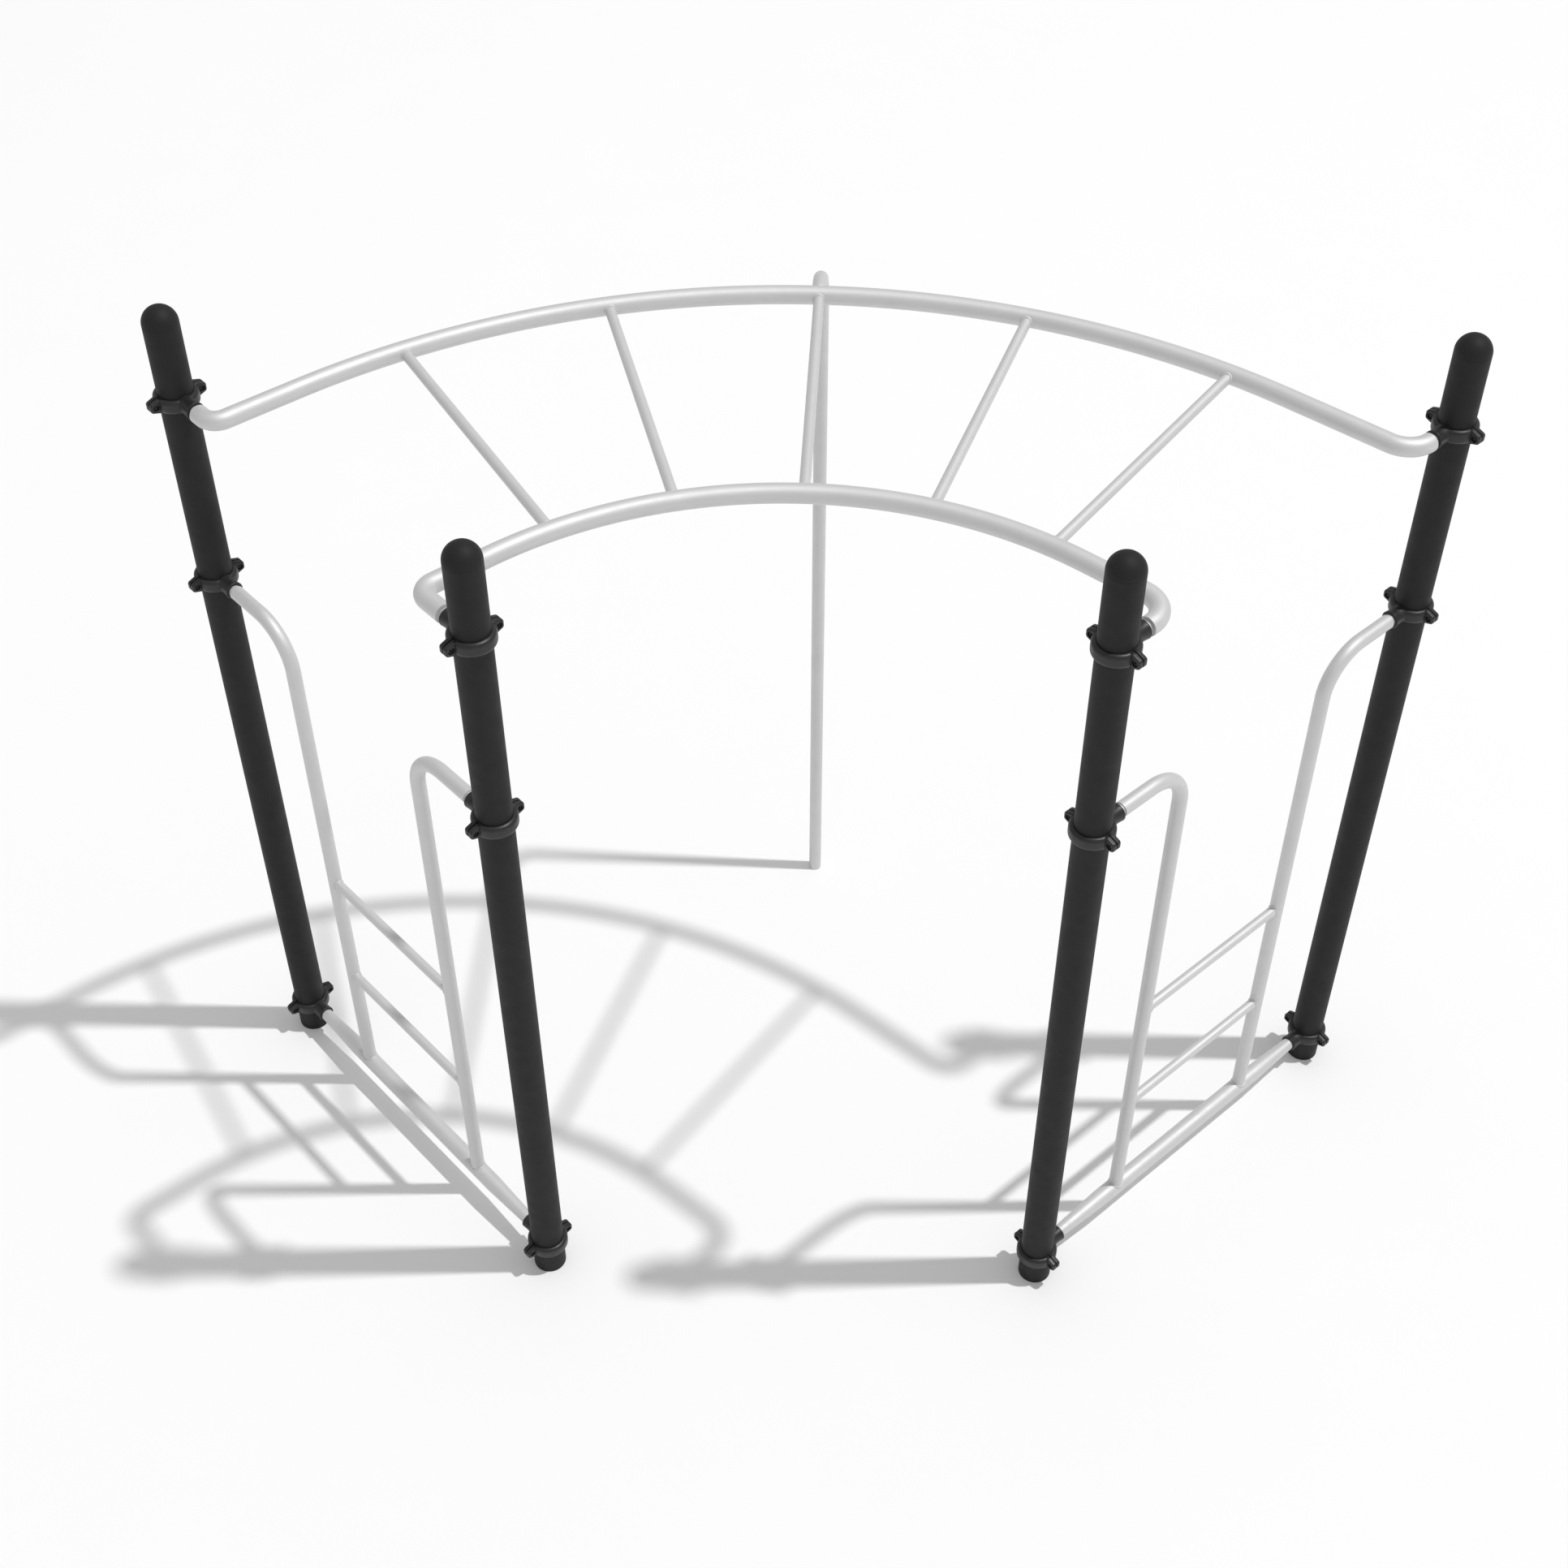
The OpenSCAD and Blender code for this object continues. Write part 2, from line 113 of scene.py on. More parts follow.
class NodeSheet:
    """A material's node tree, with short calls that add nodes to it."""

    def __init__(self, name: str) -> None:
        """Starts an empty material with a shader and object coordinates.

        Args:
            name: The material's name.
        """
        self.material = bpy.data.materials.new(name)
        self.material.use_nodes = True
        self.tree = self.material.node_tree
        self.tree.nodes.clear()
        self.output = self.add("ShaderNodeOutputMaterial")
        self.shader = self.add("ShaderNodeBsdfPrincipled")
        self.link(self.shader.outputs["BSDF"], self.output.inputs["Surface"])
        self.coords = self.add("ShaderNodeTexCoord").outputs["Object"]

    def add(self, kind: str, **settings: object) -> bpy.types.Node:
        """Adds a node.

        Args:
            kind: The node's type.
            settings: Attributes to set on it.

        Returns:
            The new node.
        """
        node = self.tree.nodes.new(kind)
        for key, value in settings.items():
            setattr(node, key, value)
        return node

    def link(self, source: bpy.types.NodeSocket, target: bpy.types.NodeSocket) -> None:
        """Joins two sockets."""
        self.tree.links.new(source, target)

    def noise(self, scale: float, detail: float = 3.0, roughness: float = 0.5) -> bpy.types.NodeSocket:
        """Adds a noise texture on object coordinates.

        Args:
            scale: Cells per metre.
            detail: Octaves.
            roughness: Strength of the finer octaves.

        Returns:
            The socket that gives 0 to 1.
        """
        node = self.add("ShaderNodeTexNoise")
        node.inputs["Scale"].default_value = scale
        node.inputs["Detail"].default_value = detail
        node.inputs["Roughness"].default_value = roughness
        self.link(self.coords, node.inputs["Vector"])
        return node.outputs["Fac"]

    def spread(
        self, source: bpy.types.NodeSocket, low: float, high: float, start: float = 0.3, end: float = 0.7
    ) -> bpy.types.NodeSocket:
        """Maps a socket's range onto another range.

        Args:
            source: The socket to read.
            low: The value given at start.
            high: The value given at end.
            start: The source value where the range begins.
            end: The source value where the range ends.

        Returns:
            The mapped socket.
        """
        node = self.add("ShaderNodeMapRange", clamp=True)
        for name, value in (("From Min", start), ("From Max", end), ("To Min", low), ("To Max", high)):
            node.inputs[name].default_value = value
        self.link(source, node.inputs["Value"])
        return node.outputs["Result"]

    def mix_colour(
        self,
        factor: bpy.types.NodeSocket,
        first: Sequence[float] | bpy.types.NodeSocket,
        second: Sequence[float] | bpy.types.NodeSocket,
    ) -> bpy.types.NodeSocket:
        """Mixes two colours.

        Args:
            factor: 0 gives the first colour and 1 the second.
            first: A colour or a socket.
            second: A colour or a socket.

        Returns:
            The mixed colour's socket.
        """
        node = self.add("ShaderNodeMix", data_type="RGBA")
        self.link(factor, node.inputs["Factor"])
        for name, value in (("A", first), ("B", second)):
            socket = next(s for s in node.inputs if s.name == name and s.type == "RGBA")
            if isinstance(value, bpy.types.NodeSocket):
                self.link(value, socket)
            else:
                socket.default_value = (*value[:3], 1.0)
        return next(s for s in node.outputs if s.type == "RGBA")

    def multiply(self, first: bpy.types.NodeSocket, second: bpy.types.NodeSocket) -> bpy.types.NodeSocket:
        """Multiplies two sockets' values and returns the product's socket."""
        node = self.add("ShaderNodeMath", operation="MULTIPLY")
        self.link(first, node.inputs[0])
        self.link(second, node.inputs[1])
        return node.outputs["Value"]

    def position(self, axis: str) -> bpy.types.NodeSocket:
        """Adds a node that gives the place along an axis in metres and returns its socket."""
        node = self.add("ShaderNodeSeparateXYZ")
        self.link(self.coords, node.inputs["Vector"])
        return node.outputs[axis]

    def bump(self, grains: Iterable[Grain]) -> None:
        """Raises the surface by several layers of noise.

        Args:
            grains: The layers, from coarse to fine.
        """
        normal = None
        for grain in grains:
            node = self.add("ShaderNodeBump")
            node.inputs["Distance"].default_value = grain.height
            node.inputs["Strength"].default_value = 1.0
            self.link(self.noise(grain.scale, grain.detail), node.inputs["Height"])
            if normal is not None:
                self.link(normal, node.inputs["Normal"])
            normal = node.outputs["Normal"]
        if normal is not None:
            self.link(normal, self.shader.inputs["Normal"])


@dataclass(frozen=True)
class PowderCoat:
    """Baked powder paint: an orange-peel skin with faint clouding, fine specks and scuffs near the ground."""

    name: str
    colour: tuple[float, float, float]
    clouded: tuple[float, float, float]
    scuffed: tuple[float, float, float]
    roughness: tuple[float, float]
    specular: float
    metallic: float = 0.0
    cloud_scale: float = 9.0
    speckle_scale: float = 620.0
    speckle_strength: float = 0.25
    scuff_height: float = 0.22
    scuff_strength: float = 0.35
    scratch_scale: float = 55.0
    sheen_scale: float = 27.0
    grains: tuple[Grain, ...] = (Grain(34.0, 0.0004), Grain(420.0, 0.00007), Grain(1500.0, 0.00003))

    def build(self) -> bpy.types.Material:
        """Makes the material and returns it."""
        sheet = NodeSheet(self.name)
        clouds = sheet.spread(sheet.noise(self.cloud_scale, 4.0), 0.0, 1.0)
        colour = sheet.mix_colour(clouds, self.colour, self.clouded)
        specks = sheet.noise(self.speckle_scale, 2.0)
        speckle = sheet.spread(specks, 0.0, self.speckle_strength, start=0.52, end=0.7)
        colour = sheet.mix_colour(speckle, colour, self.scuffed)
        height = sheet.position("Z")
        near_ground = sheet.spread(height, self.scuff_strength, 0.0, start=0.0, end=self.scuff_height)
        scratches = sheet.spread(sheet.noise(self.scratch_scale, 6.0, 0.7), 0.0, 1.0, start=0.55, end=0.72)
        colour = sheet.mix_colour(sheet.multiply(near_ground, scratches), colour, self.scuffed)
        sheet.link(colour, sheet.shader.inputs["Base Color"])
        rough = sheet.spread(sheet.noise(self.sheen_scale, 4.0), *self.roughness)
        sheet.link(rough, sheet.shader.inputs["Roughness"])
        sheet.shader.inputs["Specular IOR Level"].default_value = self.specular
        sheet.shader.inputs["Metallic"].default_value = self.metallic
        sheet.bump(self.grains)
        return sheet.material


@dataclass(frozen=True)
class BlackOxide:
    """Black oxide on steel fasteners, with blotches and fine turning marks."""

    name: str
    bright: tuple[float, float, float]
    dull: tuple[float, float, float]
    roughness: tuple[float, float]

    def build(self) -> bpy.types.Material:
        """Makes the material and returns it."""
        sheet = NodeSheet(self.name)
        blotches = sheet.spread(sheet.noise(160.0, 4.0), 0.0, 1.0)
        sheet.link(sheet.mix_colour(blotches, self.bright, self.dull), sheet.shader.inputs["Base Color"])
        rough = sheet.spread(sheet.noise(300.0), *self.roughness)
        sheet.link(rough, sheet.shader.inputs["Roughness"])
        sheet.shader.inputs["Metallic"].default_value = 1.0
        sheet.bump((Grain(900.0, 0.00003),))
        return sheet.material


@dataclass(frozen=True)
class FloorPaper:
    """Matt white paper under the object, its colour painted a little brighter on the side away from the light
    and darker on the lit side, to even out the key light's falloff across the floor.
    """

    name: str
    painted_bright_far_side: tuple[float, float, float]
    painted_dim_lit_side: tuple[float, float, float]
    fibre: tuple[float, float, float] = (0.5, 0.5, 0.5)
    half_width: float = 3.5

    def build(self) -> bpy.types.Material:
        """Makes the material and returns it."""
        sheet = NodeSheet(self.name)
        # Painted light: the paper's colour runs from brighter on the far side to darker on the lit side,
        # evening out the key light's falloff.
        across = sheet.spread(sheet.position("X"), 0.0, 1.0, -self.half_width, self.half_width)
        paper = sheet.mix_colour(across, self.painted_bright_far_side, self.painted_dim_lit_side)
        fibres = sheet.spread(sheet.noise(3.0), 0.0, 0.01)
        sheet.link(sheet.mix_colour(fibres, paper, self.fibre), sheet.shader.inputs["Base Color"])
        sheet.shader.inputs["Roughness"].default_value = 1.0
        sheet.shader.inputs["Specular IOR Level"].default_value = 0.0
        return sheet.material


@dataclass(frozen=True)
class Palette:
    """Every finish on the object."""

    post: PowderCoat = PowderCoat(
        name="post_charcoal_coat",
        colour=(0.0125, 0.0125, 0.0127),
        clouded=(0.0138, 0.0138, 0.014),
        scuffed=(0.05, 0.05, 0.05),
        roughness=(0.6, 0.68),
        specular=0.25,
        speckle_strength=0.1,
    )
    clamp: PowderCoat = PowderCoat(
        name="clamp_black_coat",
        colour=(0.012, 0.012, 0.013),
        clouded=(0.016, 0.016, 0.017),
        scuffed=(0.06, 0.06, 0.06),
        roughness=(0.36, 0.46),
        specular=0.4,
        grains=(Grain(90.0, 0.0004), Grain(700.0, 0.00008)),
    )
    ladder: PowderCoat = PowderCoat(
        name="ladder_silver_coat",
        colour=(0.645, 0.645, 0.645),
        clouded=(0.665, 0.665, 0.665),
        scuffed=(0.45, 0.45, 0.45),
        roughness=(0.54, 0.62),
        specular=0.4,
        metallic=0.5,
        speckle_strength=0.05,
        scuff_strength=0.2,
    )
    fastener: BlackOxide = BlackOxide(
        name="fastener_black_oxide",
        bright=(0.05, 0.05, 0.052),
        dull=(0.03, 0.03, 0.03),
        roughness=(0.4, 0.6),
    )

    def materials(self) -> dict[Surface, bpy.types.Material]:
        """Makes one material for each slot and returns them by slot."""
        return {
            Surface.POST: self.post.build(),
            Surface.CLAMP: self.clamp.build(),
            Surface.LADDER: self.ladder.build(),
            Surface.FASTENER: self.fastener.build(),
        }


# ---- Mesh building ----


def round_angles(count: int) -> list[float]:
    """Gives that many even angles round a full turn."""
    return [TURN * i / count for i in range(count)]


def quarter_angles(steps: int) -> list[float]:
    """Gives the angles from 0 to a right angle in that many steps."""
    return [QUARTER * i / steps for i in range(steps + 1)]


class Skin:
    """A closed mesh drawn ring by ring, each ring with the same number of points."""

    def __init__(self) -> None:
        """Starts an empty skin."""
        self.sheet = bmesh.new()
        self.last: list[bmesh.types.BMVert] = []
        self.first: list[bmesh.types.BMVert] = []

    def ring(self, points: Sequence[Vector]) -> None:
        """Adds a ring and joins it to the one before.

        Args:
            points: The ring's points, in order.
        """
        verts = [self.sheet.verts.new(p) for p in points]
        if self.last:
            self._band(verts)
        else:
            self.first = verts
        self.last = verts

    def _band(self, verts: Sequence[bmesh.types.BMVert]) -> None:
        """Joins the last ring to another with a band of faces."""
        for i, vert in enumerate(verts):
            j = (i + 1) % len(verts)
            self.sheet.faces.new((self.last[i], self.last[j], verts[j], vert))

    def cap(self) -> None:
        """Closes the ends of the current skin with fans and starts a new one."""
        for verts, flipped in ((self.first, True), (self.last, False)):
            centre = self.sheet.verts.new(sum((v.co for v in verts), Vector()) / len(verts))
            for i, vert in enumerate(verts):
                nxt = verts[(i + 1) % len(verts)]
                self.sheet.faces.new((nxt, vert, centre) if flipped else (vert, nxt, centre))
        self.first, self.last = [], []

    def join_ends(self) -> None:
        """Joins the last ring to the first and starts a new skin."""
        self._band(self.first)
        self.first, self.last = [], []

    def mesh(self, name: str, sharp: float = 38.0) -> bpy.types.Mesh:
        """Turns the skins into one smooth-shaded mesh.

        Args:
            name: The mesh's name.
            sharp: Edges that turn by more than this many degrees stay crisp.

        Returns:
            The mesh.
        """
        bmesh.ops.recalc_face_normals(self.sheet, faces=self.sheet.faces)
        mesh = bpy.data.meshes.new(name)
        self.sheet.to_mesh(mesh)
        self.sheet.free()
        for polygon in mesh.polygons:
            polygon.use_smooth = True
        mesh.set_sharp_from_angle(angle=math.radians(sharp))
        return mesh


class TubeRun:
    """A round tube drawn along a flat path of straights and bends."""

    def __init__(
        self, start: Vector, heading: Vector, normal: Vector, radius: float, sides: int = 48
    ) -> None:
        """Starts a run.

        Args:
            start: Centre of the first ring.
            heading: Direction of travel.
            normal: Direction square to the plane that the path lies in.
            radius: Outside radius at the start.
            sides: Points in each ring.
        """
        self.skin = Skin()
        self.place = start.copy()
        self.heading = heading.normalized()
        self.normal = normal.normalized()
        self.radius = radius
        self.sides = sides
        self.stamp(radius)

    def stamp(self, radius: float) -> None:
        """Draws a ring of that radius where the run stands."""
        side = self.heading.cross(self.normal)
        spokes = [math.cos(a) * side + math.sin(a) * self.normal for a in round_angles(self.sides)]
        self.skin.ring([self.place + radius * spoke for spoke in spokes])
        self.radius = radius

    def straight(self, length: float, radius: float | None = None, steps: int = 1) -> "TubeRun":
        """Runs straight on, and thickens or thins to radius on the way.

        Args:
            length: Distance to run.
            radius: Outside radius at the far end, or None to keep it.
            steps: Rings on the way.

        Returns:
            This run.
        """
        begin = self.radius
        end = begin if radius is None else radius
        for i in range(1, steps + 1):
            self.place = self.place + self.heading * (length / steps)
            self.stamp(begin + (end - begin) * i / steps)
        return self

    def shoulder(self, radius: float) -> "TubeRun":
        """Steps straight out or in to another radius over a small broken edge and returns this run."""
        grow = 1.0 if radius > self.radius else -1.0
        return self.straight(FINE_EDGE, radius - grow * FINE_EDGE).straight(FINE_EDGE, radius)

    def bend(self, radius: float, angle: float, steps: int) -> "TubeRun":
        """Turns about the normal.

        Args:
            radius: Centre-line radius.
            angle: Angle in radians, positive to the left as seen from the normal's tip.
            steps: Rings on the way.

        Returns:
            This run.
        """
        left = self.normal.cross(self.heading)
        turn_sign = 1.0 if angle > 0 else -1.0
        centre = self.place + left * radius * turn_sign
        for _ in range(steps):
            step = Matrix.Rotation(angle / steps, 3, self.normal)
            self.place = centre + step @ (self.place - centre)
            self.heading = (step @ self.heading).normalized()
            self.stamp(self.radius)
        return self

    def bore(self, radius: float, depth: float) -> "TubeRun":
        """Ends the run in an open mouth with a bore of that radius and depth and returns this run."""
        self.straight(EDGE, self.radius - EDGE)
        self.stamp(radius + FINE_EDGE)
        return self.straight(-FINE_EDGE, radius).straight(-depth, radius)

    def mesh(self, name: str) -> bpy.types.Mesh:
        """Closes the run and returns its mesh."""
        self.skin.cap()
        return self.skin.mesh(name)


def stand(name: str, data: bpy.types.ID, place: Sequence[float] = (0.0, 0.0, 0.0)) -> bpy.types.Object:
    """Puts an object made of that data in the scene at that place and returns it."""
    thing = bpy.data.objects.new(name, data)
    thing.location = place
    bpy.context.scene.collection.objects.link(thing)
    return thing


def show(
    name: str,
    mesh: bpy.types.Mesh,
    material: bpy.types.Material,
    stands_for: Sequence[str] = (),
    place: Matrix | None = None,
) -> bpy.types.Object:
    """Puts a piece in the scene and reports it.

    Args:
        name: The piece's name.
        mesh: Its mesh.
        material: Its finish.
        stands_for: The CAD nodes that it replaces.
        place: Where it stands, or None for the row's own frame.

    Returns:
        The piece.
    """
    if not mesh.materials:
        mesh.materials.append(material)
    piece = stand(name, mesh)
    if place is not None:
        piece.matrix_world = place
    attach(piece, BODY)
    if stands_for:
        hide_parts(*stands_for)
    LOG.info("%s: %d faces", name, len(mesh.polygons))
    return piece


@dataclass(frozen=True)
class WeldBead:
    """A rippled fillet of weld where a tube is coped onto another."""

    thickness: float = 0.0032
    ripple: float = 0.07
    ripple_pitch: float = 0.0042
    points: int = 96
    section: int = 10

    def mesh(
        self, name: str, centre: Vector, away: Vector, along: Vector, tube: float, host: float
    ) -> bpy.types.Mesh:
        """Draws the bead round one joint.

        Args:
            name: The mesh's name.
            centre: Where the tube's axis meets the host's axis.
            away: Direction of the tube, away from the host.
            along: Direction of the host's axis.
            tube: The tube's outside radius.
            host: The host's outside radius.

        Returns:
            The bead's mesh.
        """
        skin = Skin()
        across = along.cross(away).normalized()
        ripples = round(TURN * tube / self.ripple_pitch)
        for a in round_angles(self.points):
            outward = math.cos(a) * along + math.sin(a) * across
            rise = math.sqrt(host * host - (tube * math.sin(a)) ** 2)
            corner = centre + away * rise + outward * tube
            fine = self.ripple * math.sin(ripples * a)
            coarse = 0.5 * self.ripple * math.sin(3 * a + 1)
            thick = self.thickness * (1.0 + fine + coarse)
            spokes = [math.cos(b) * outward + math.sin(b) * away for b in round_angles(self.section)]
            skin.ring([corner + thick * spoke for spoke in spokes])
        skin.join_ends()
        return skin.mesh(name, 80.0)


# ---- Sub-assemblies ----


@dataclass
class EndFrame:
    """The upright plane through the two posts of one end, found from the posts' own boxes."""

    side: Side
    inner: Vector = field(init=False)
    outer: Vector = field(init=False)
    heading: Vector = field(init=False)
    normal: Vector = field(init=False)
    span: float = field(init=False)

    def __post_init__(self) -> None:
        """Reads the posts' axes from their boxes."""
        self.inner = self.axis(Row.INNER)
        self.outer = self.axis(Row.OUTER)
        self.heading = (self.outer - self.inner).normalized()
        self.normal = self.heading.cross(UP)
        self.span = (self.outer - self.inner).length

    def axis(self, row: Row) -> Vector:
        """Gives the foot of a post's axis on the ground."""
        low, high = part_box(f"post_{self.side.value}_{row.value}")
        return Vector(((low[0] + high[0]) / 2, (low[1] + high[1]) / 2, 0.0))

    def towards(self, row: Row) -> Vector:
        """Gives the direction from a post to the other post of its end."""
        return self.heading if row is Row.INNER else -self.heading

    def foot(self, row: Row) -> Vector:
        """Gives the foot of a post's axis."""
        return self.inner if row is Row.INNER else self.outer


def middle_height(node: str) -> float:
    """Gives the height of the middle of a CAD node's box."""
    low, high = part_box(node)
    return (low[2] + high[2]) / 2


@dataclass
class SpigotEnd:
    """The reduced end of a tube, measured from a post's axis."""

    radius: float = 0.016
    end: float = 0.054
    rim: float = 0.08795
    shoulder: float = 0.09595
    cone: float = 0.003

    def start(self, foot: Vector, height: float, towards: Vector, normal: Vector) -> TubeRun:
        """Starts a run inside a socket and brings it out to the shoulder.

        Args:
            foot: Foot of the post's axis.
            height: Height of the socket.
            towards: Direction out of the socket.
            normal: Direction square to the run's plane.

        Returns:
            The run, which stands at the shoulder.
        """
        place = foot + UP * height + towards * self.end
        return TubeRun(place, towards, normal, self.radius).straight(self.shoulder - self.end)


@dataclass
class Posts:
    """The four posts and their dome caps."""

    radius: float = 0.04445
    wall: float = 0.0032
    seam: float = 0.0004
    open_depth: float = 0.25
    plug: float = 0.02
    sides: int = 72
    dome_rings: int = 18
    tip_share: float = 0.012
    tip_height_share: float = 0.9999

    def build(self, finish: bpy.types.Material) -> None:
        """Builds every post and cap.

        Args:
            finish: The posts' finish.
        """
        for side in Side:
            end = EndFrame(side)
            for row in Row:
                name = f"post_{side.value}_{row.value}"
                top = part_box(name)[1][2]
                show(f"skin_{name}", self._tube(name, end.foot(row), top), finish, [name])
                cap = f"post_cap_{side.value}_{row.value}"
                show(f"skin_{cap}", self._dome(cap, end.foot(row), top), finish, [cap])

    def _tube(self, name: str, foot: Vector, top: float) -> bpy.types.Mesh:
        """Draws a post from its top down to its open foot and returns the mesh."""
        run = TubeRun(foot + UP * top, -UP, ACROSS, self.radius - self.seam, self.sides)
        run.straight(self.seam, self.radius)
        run.straight(top - self.seam - EDGE, steps=12)
        return run.bore(self.radius - self.wall, self.open_depth).mesh(name)

    def _dome(self, name: str, foot: Vector, top: float) -> bpy.types.Mesh:
        """Draws a dome cap and returns the mesh."""
        run = TubeRun(foot + UP * (top - self.plug), UP, ACROSS, self.radius - self.wall, self.sides)
        run.straight(self.plug)
        run.stamp(self.radius - self.seam)
        run.straight(self.seam, self.radius)
        rings = [(math.sin(a), math.cos(a)) for a in quarter_angles(self.dome_rings)[1:-1]]
        for rise, share in (*rings, (self.tip_height_share, self.tip_share)):
            run.place = foot + UP * (top + self.radius * rise)
            run.stamp(self.radius * share)
        return run.mesh(name)


@dataclass(frozen=True)
class RailEnd:
    """One end of a rail: its bend, the straight before it and the stub after it."""

    bend: float
    sweep: float
    run: float
    stub: float


@dataclass
class OverheadLadder:
    """The two curved rails, the hand rungs between them and the leg behind."""

    rail: float = 0.02415
    outer_arc: float = 1.857
    inner_arc: float = 1.026
    end_bend: dict[Side, float] = field(default_factory=lambda: {Side.LEFT: 0.04, Side.RIGHT: 0.07})
    leave_angle: dict[Side, float] = field(
        default_factory=lambda: {Side.LEFT: math.radians(42.0), Side.RIGHT: math.radians(38.0)}
    )
    rung: float = 0.01345
    rung_pitch: float = math.radians(16.6)
    rung_count: int = 5
    leg: float = 0.01905
    leg_offset: float = 0.213
    leg_bend: float = 0.185
    leg_wall: float = 0.0029
    leg_open_depth: float = 0.25
    bend_steps: int = 28
    arc_steps: int = 110
    spigot: SpigotEnd = field(default_factory=SpigotEnd)
    bead: WeldBead = field(default_factory=WeldBead)
    centre: Vector = field(init=False)

    def __post_init__(self) -> None:
        """Finds the arcs' centre from the outer rail's box."""
        node = "overhead_rail_outer"
        self.centre = Vector((0.0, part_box(node)[1][1] - self.rail - self.outer_arc, middle_height(node)))

    def build(self, finish: bpy.types.Material) -> None:
        """Builds the rails, the rungs, the leg and their welds.

        Args:
            finish: The ladder's finish.
        """
        for row, arc, turn in ((Row.OUTER, self.outer_arc, 1), (Row.INNER, self.inner_arc, -1)):
            name = f"overhead_rail_{row.value}"
            show(f"skin_{name}", self._rail(name, row, arc, turn), finish, [name])
        for i in range(self.rung_count):
            self._rung(i, finish)
        self._leg(finish)

    def _end(self, side: Side, row: Row, arc: float) -> RailEnd:
        """Lays out one end of a rail, where its curve runs straight on to a corner in line with the posts.

        Args:
            side: Which end.
            row: The post that it joins.
            arc: The arc's centre-line radius.

        Returns:
            The end's lengths and angle.
        """
        end = EndFrame(side)
        towards = end.towards(row)
        sign = 1.0 if side is Side.RIGHT else -1.0
        leave = self.leave_angle[side]
        bend = self.end_bend[side]
        outward = Vector((sign * math.sin(leave), math.cos(leave), 0.0))
        onward = Vector((sign * math.cos(leave), -math.sin(leave), 0.0))
        off = end.foot(row) - Vector((self.centre.x, self.centre.y, 0.0))
        corner = (arc - off.dot(outward)) / towards.dot(outward)
        run = (off + towards * corner).dot(onward)
        sweep = onward.angle(-towards)
        set_back = bend * math.tan(0.5 * sweep)
        stub = corner - set_back - self.spigot.shoulder - self.spigot.cone
        return RailEnd(bend, sweep, run - set_back, stub)

    def _rail(self, name: str, row: Row, arc: float, turn: int) -> bpy.types.Mesh:
        """Draws one rail from the right-hand post to the left-hand post.

        Args:
            name: The mesh's name.
            row: The posts that it joins.
            arc: The arc's centre-line radius.
            turn: 1 where the end bends turn against the arc, -1 where they turn with it.

        Returns:
            The mesh.
        """
        right, left = (self._end(side, row, arc) for side in (Side.RIGHT, Side.LEFT))
        posts = EndFrame(Side.RIGHT)
        run = self.spigot.start(posts.foot(row), self.centre.z, posts.towards(row), UP)
        run.straight(self.spigot.cone, self.rail, 3)
        run.straight(right.stub)
        run.bend(right.bend, -turn * right.sweep, self.bend_steps)
        run.straight(right.run, steps=3)
        run.bend(arc, self.leave_angle[Side.LEFT] + self.leave_angle[Side.RIGHT], self.arc_steps)
        run.straight(left.run, steps=3)
        run.bend(left.bend, -turn * left.sweep, self.bend_steps)
        run.straight(left.stub)
        run.straight(self.spigot.cone, self.spigot.radius, 3)
        run.straight(self.spigot.shoulder - self.spigot.end)
        return run.mesh(name)

    def _rung(self, index: int, finish: bpy.types.Material) -> None:
        """Builds one hand rung and the welds at its two ends.

        Args:
            index: Its place, from 0 at the left of the arc.
            finish: The ladder's finish.
        """
        angle = (index - (self.rung_count - 1) / 2) * self.rung_pitch
        away = Vector((math.sin(angle), math.cos(angle), 0.0))
        along = Vector((away.y, -away.x, 0.0))
        name = f"overhead_rung_{index + 1}"
        start = self.centre + away * self.inner_arc
        length = self.outer_arc - self.inner_arc
        run = TubeRun(start, away, UP, self.rung, sides=40).straight(length, steps=8)
        show(f"skin_{name}", run.mesh(name), finish, [name])
        for label, place, direction in (("inner", start, away), ("outer", start + away * length, -away)):
            bead = f"weld_{name}_{label}"
            mesh = self.bead.mesh(bead, place, direction, along, self.rung, self.rail)
            show(bead, mesh, finish)

    def _leg(self, finish: bpy.types.Material) -> None:
        """Builds the leg behind the outer rail and the weld at its top."""
        start = self.centre + BACK * self.outer_arc
        run = TubeRun(start, BACK, ACROSS, self.leg)
        run.straight(self.leg_offset - self.leg_bend)
        run.bend(self.leg_bend, -QUARTER, 32)
        run.straight(self.centre.z - self.leg_bend - EDGE, steps=10)
        run.bore(self.leg - self.leg_wall, self.leg_open_depth)
        show("skin_centre_leg", run.mesh("centre_leg"), finish, ["centre_leg"])
        mesh = self.bead.mesh("weld_centre_leg", start, BACK, ACROSS, self.leg, self.rail)
        show("weld_centre_leg", mesh, finish)


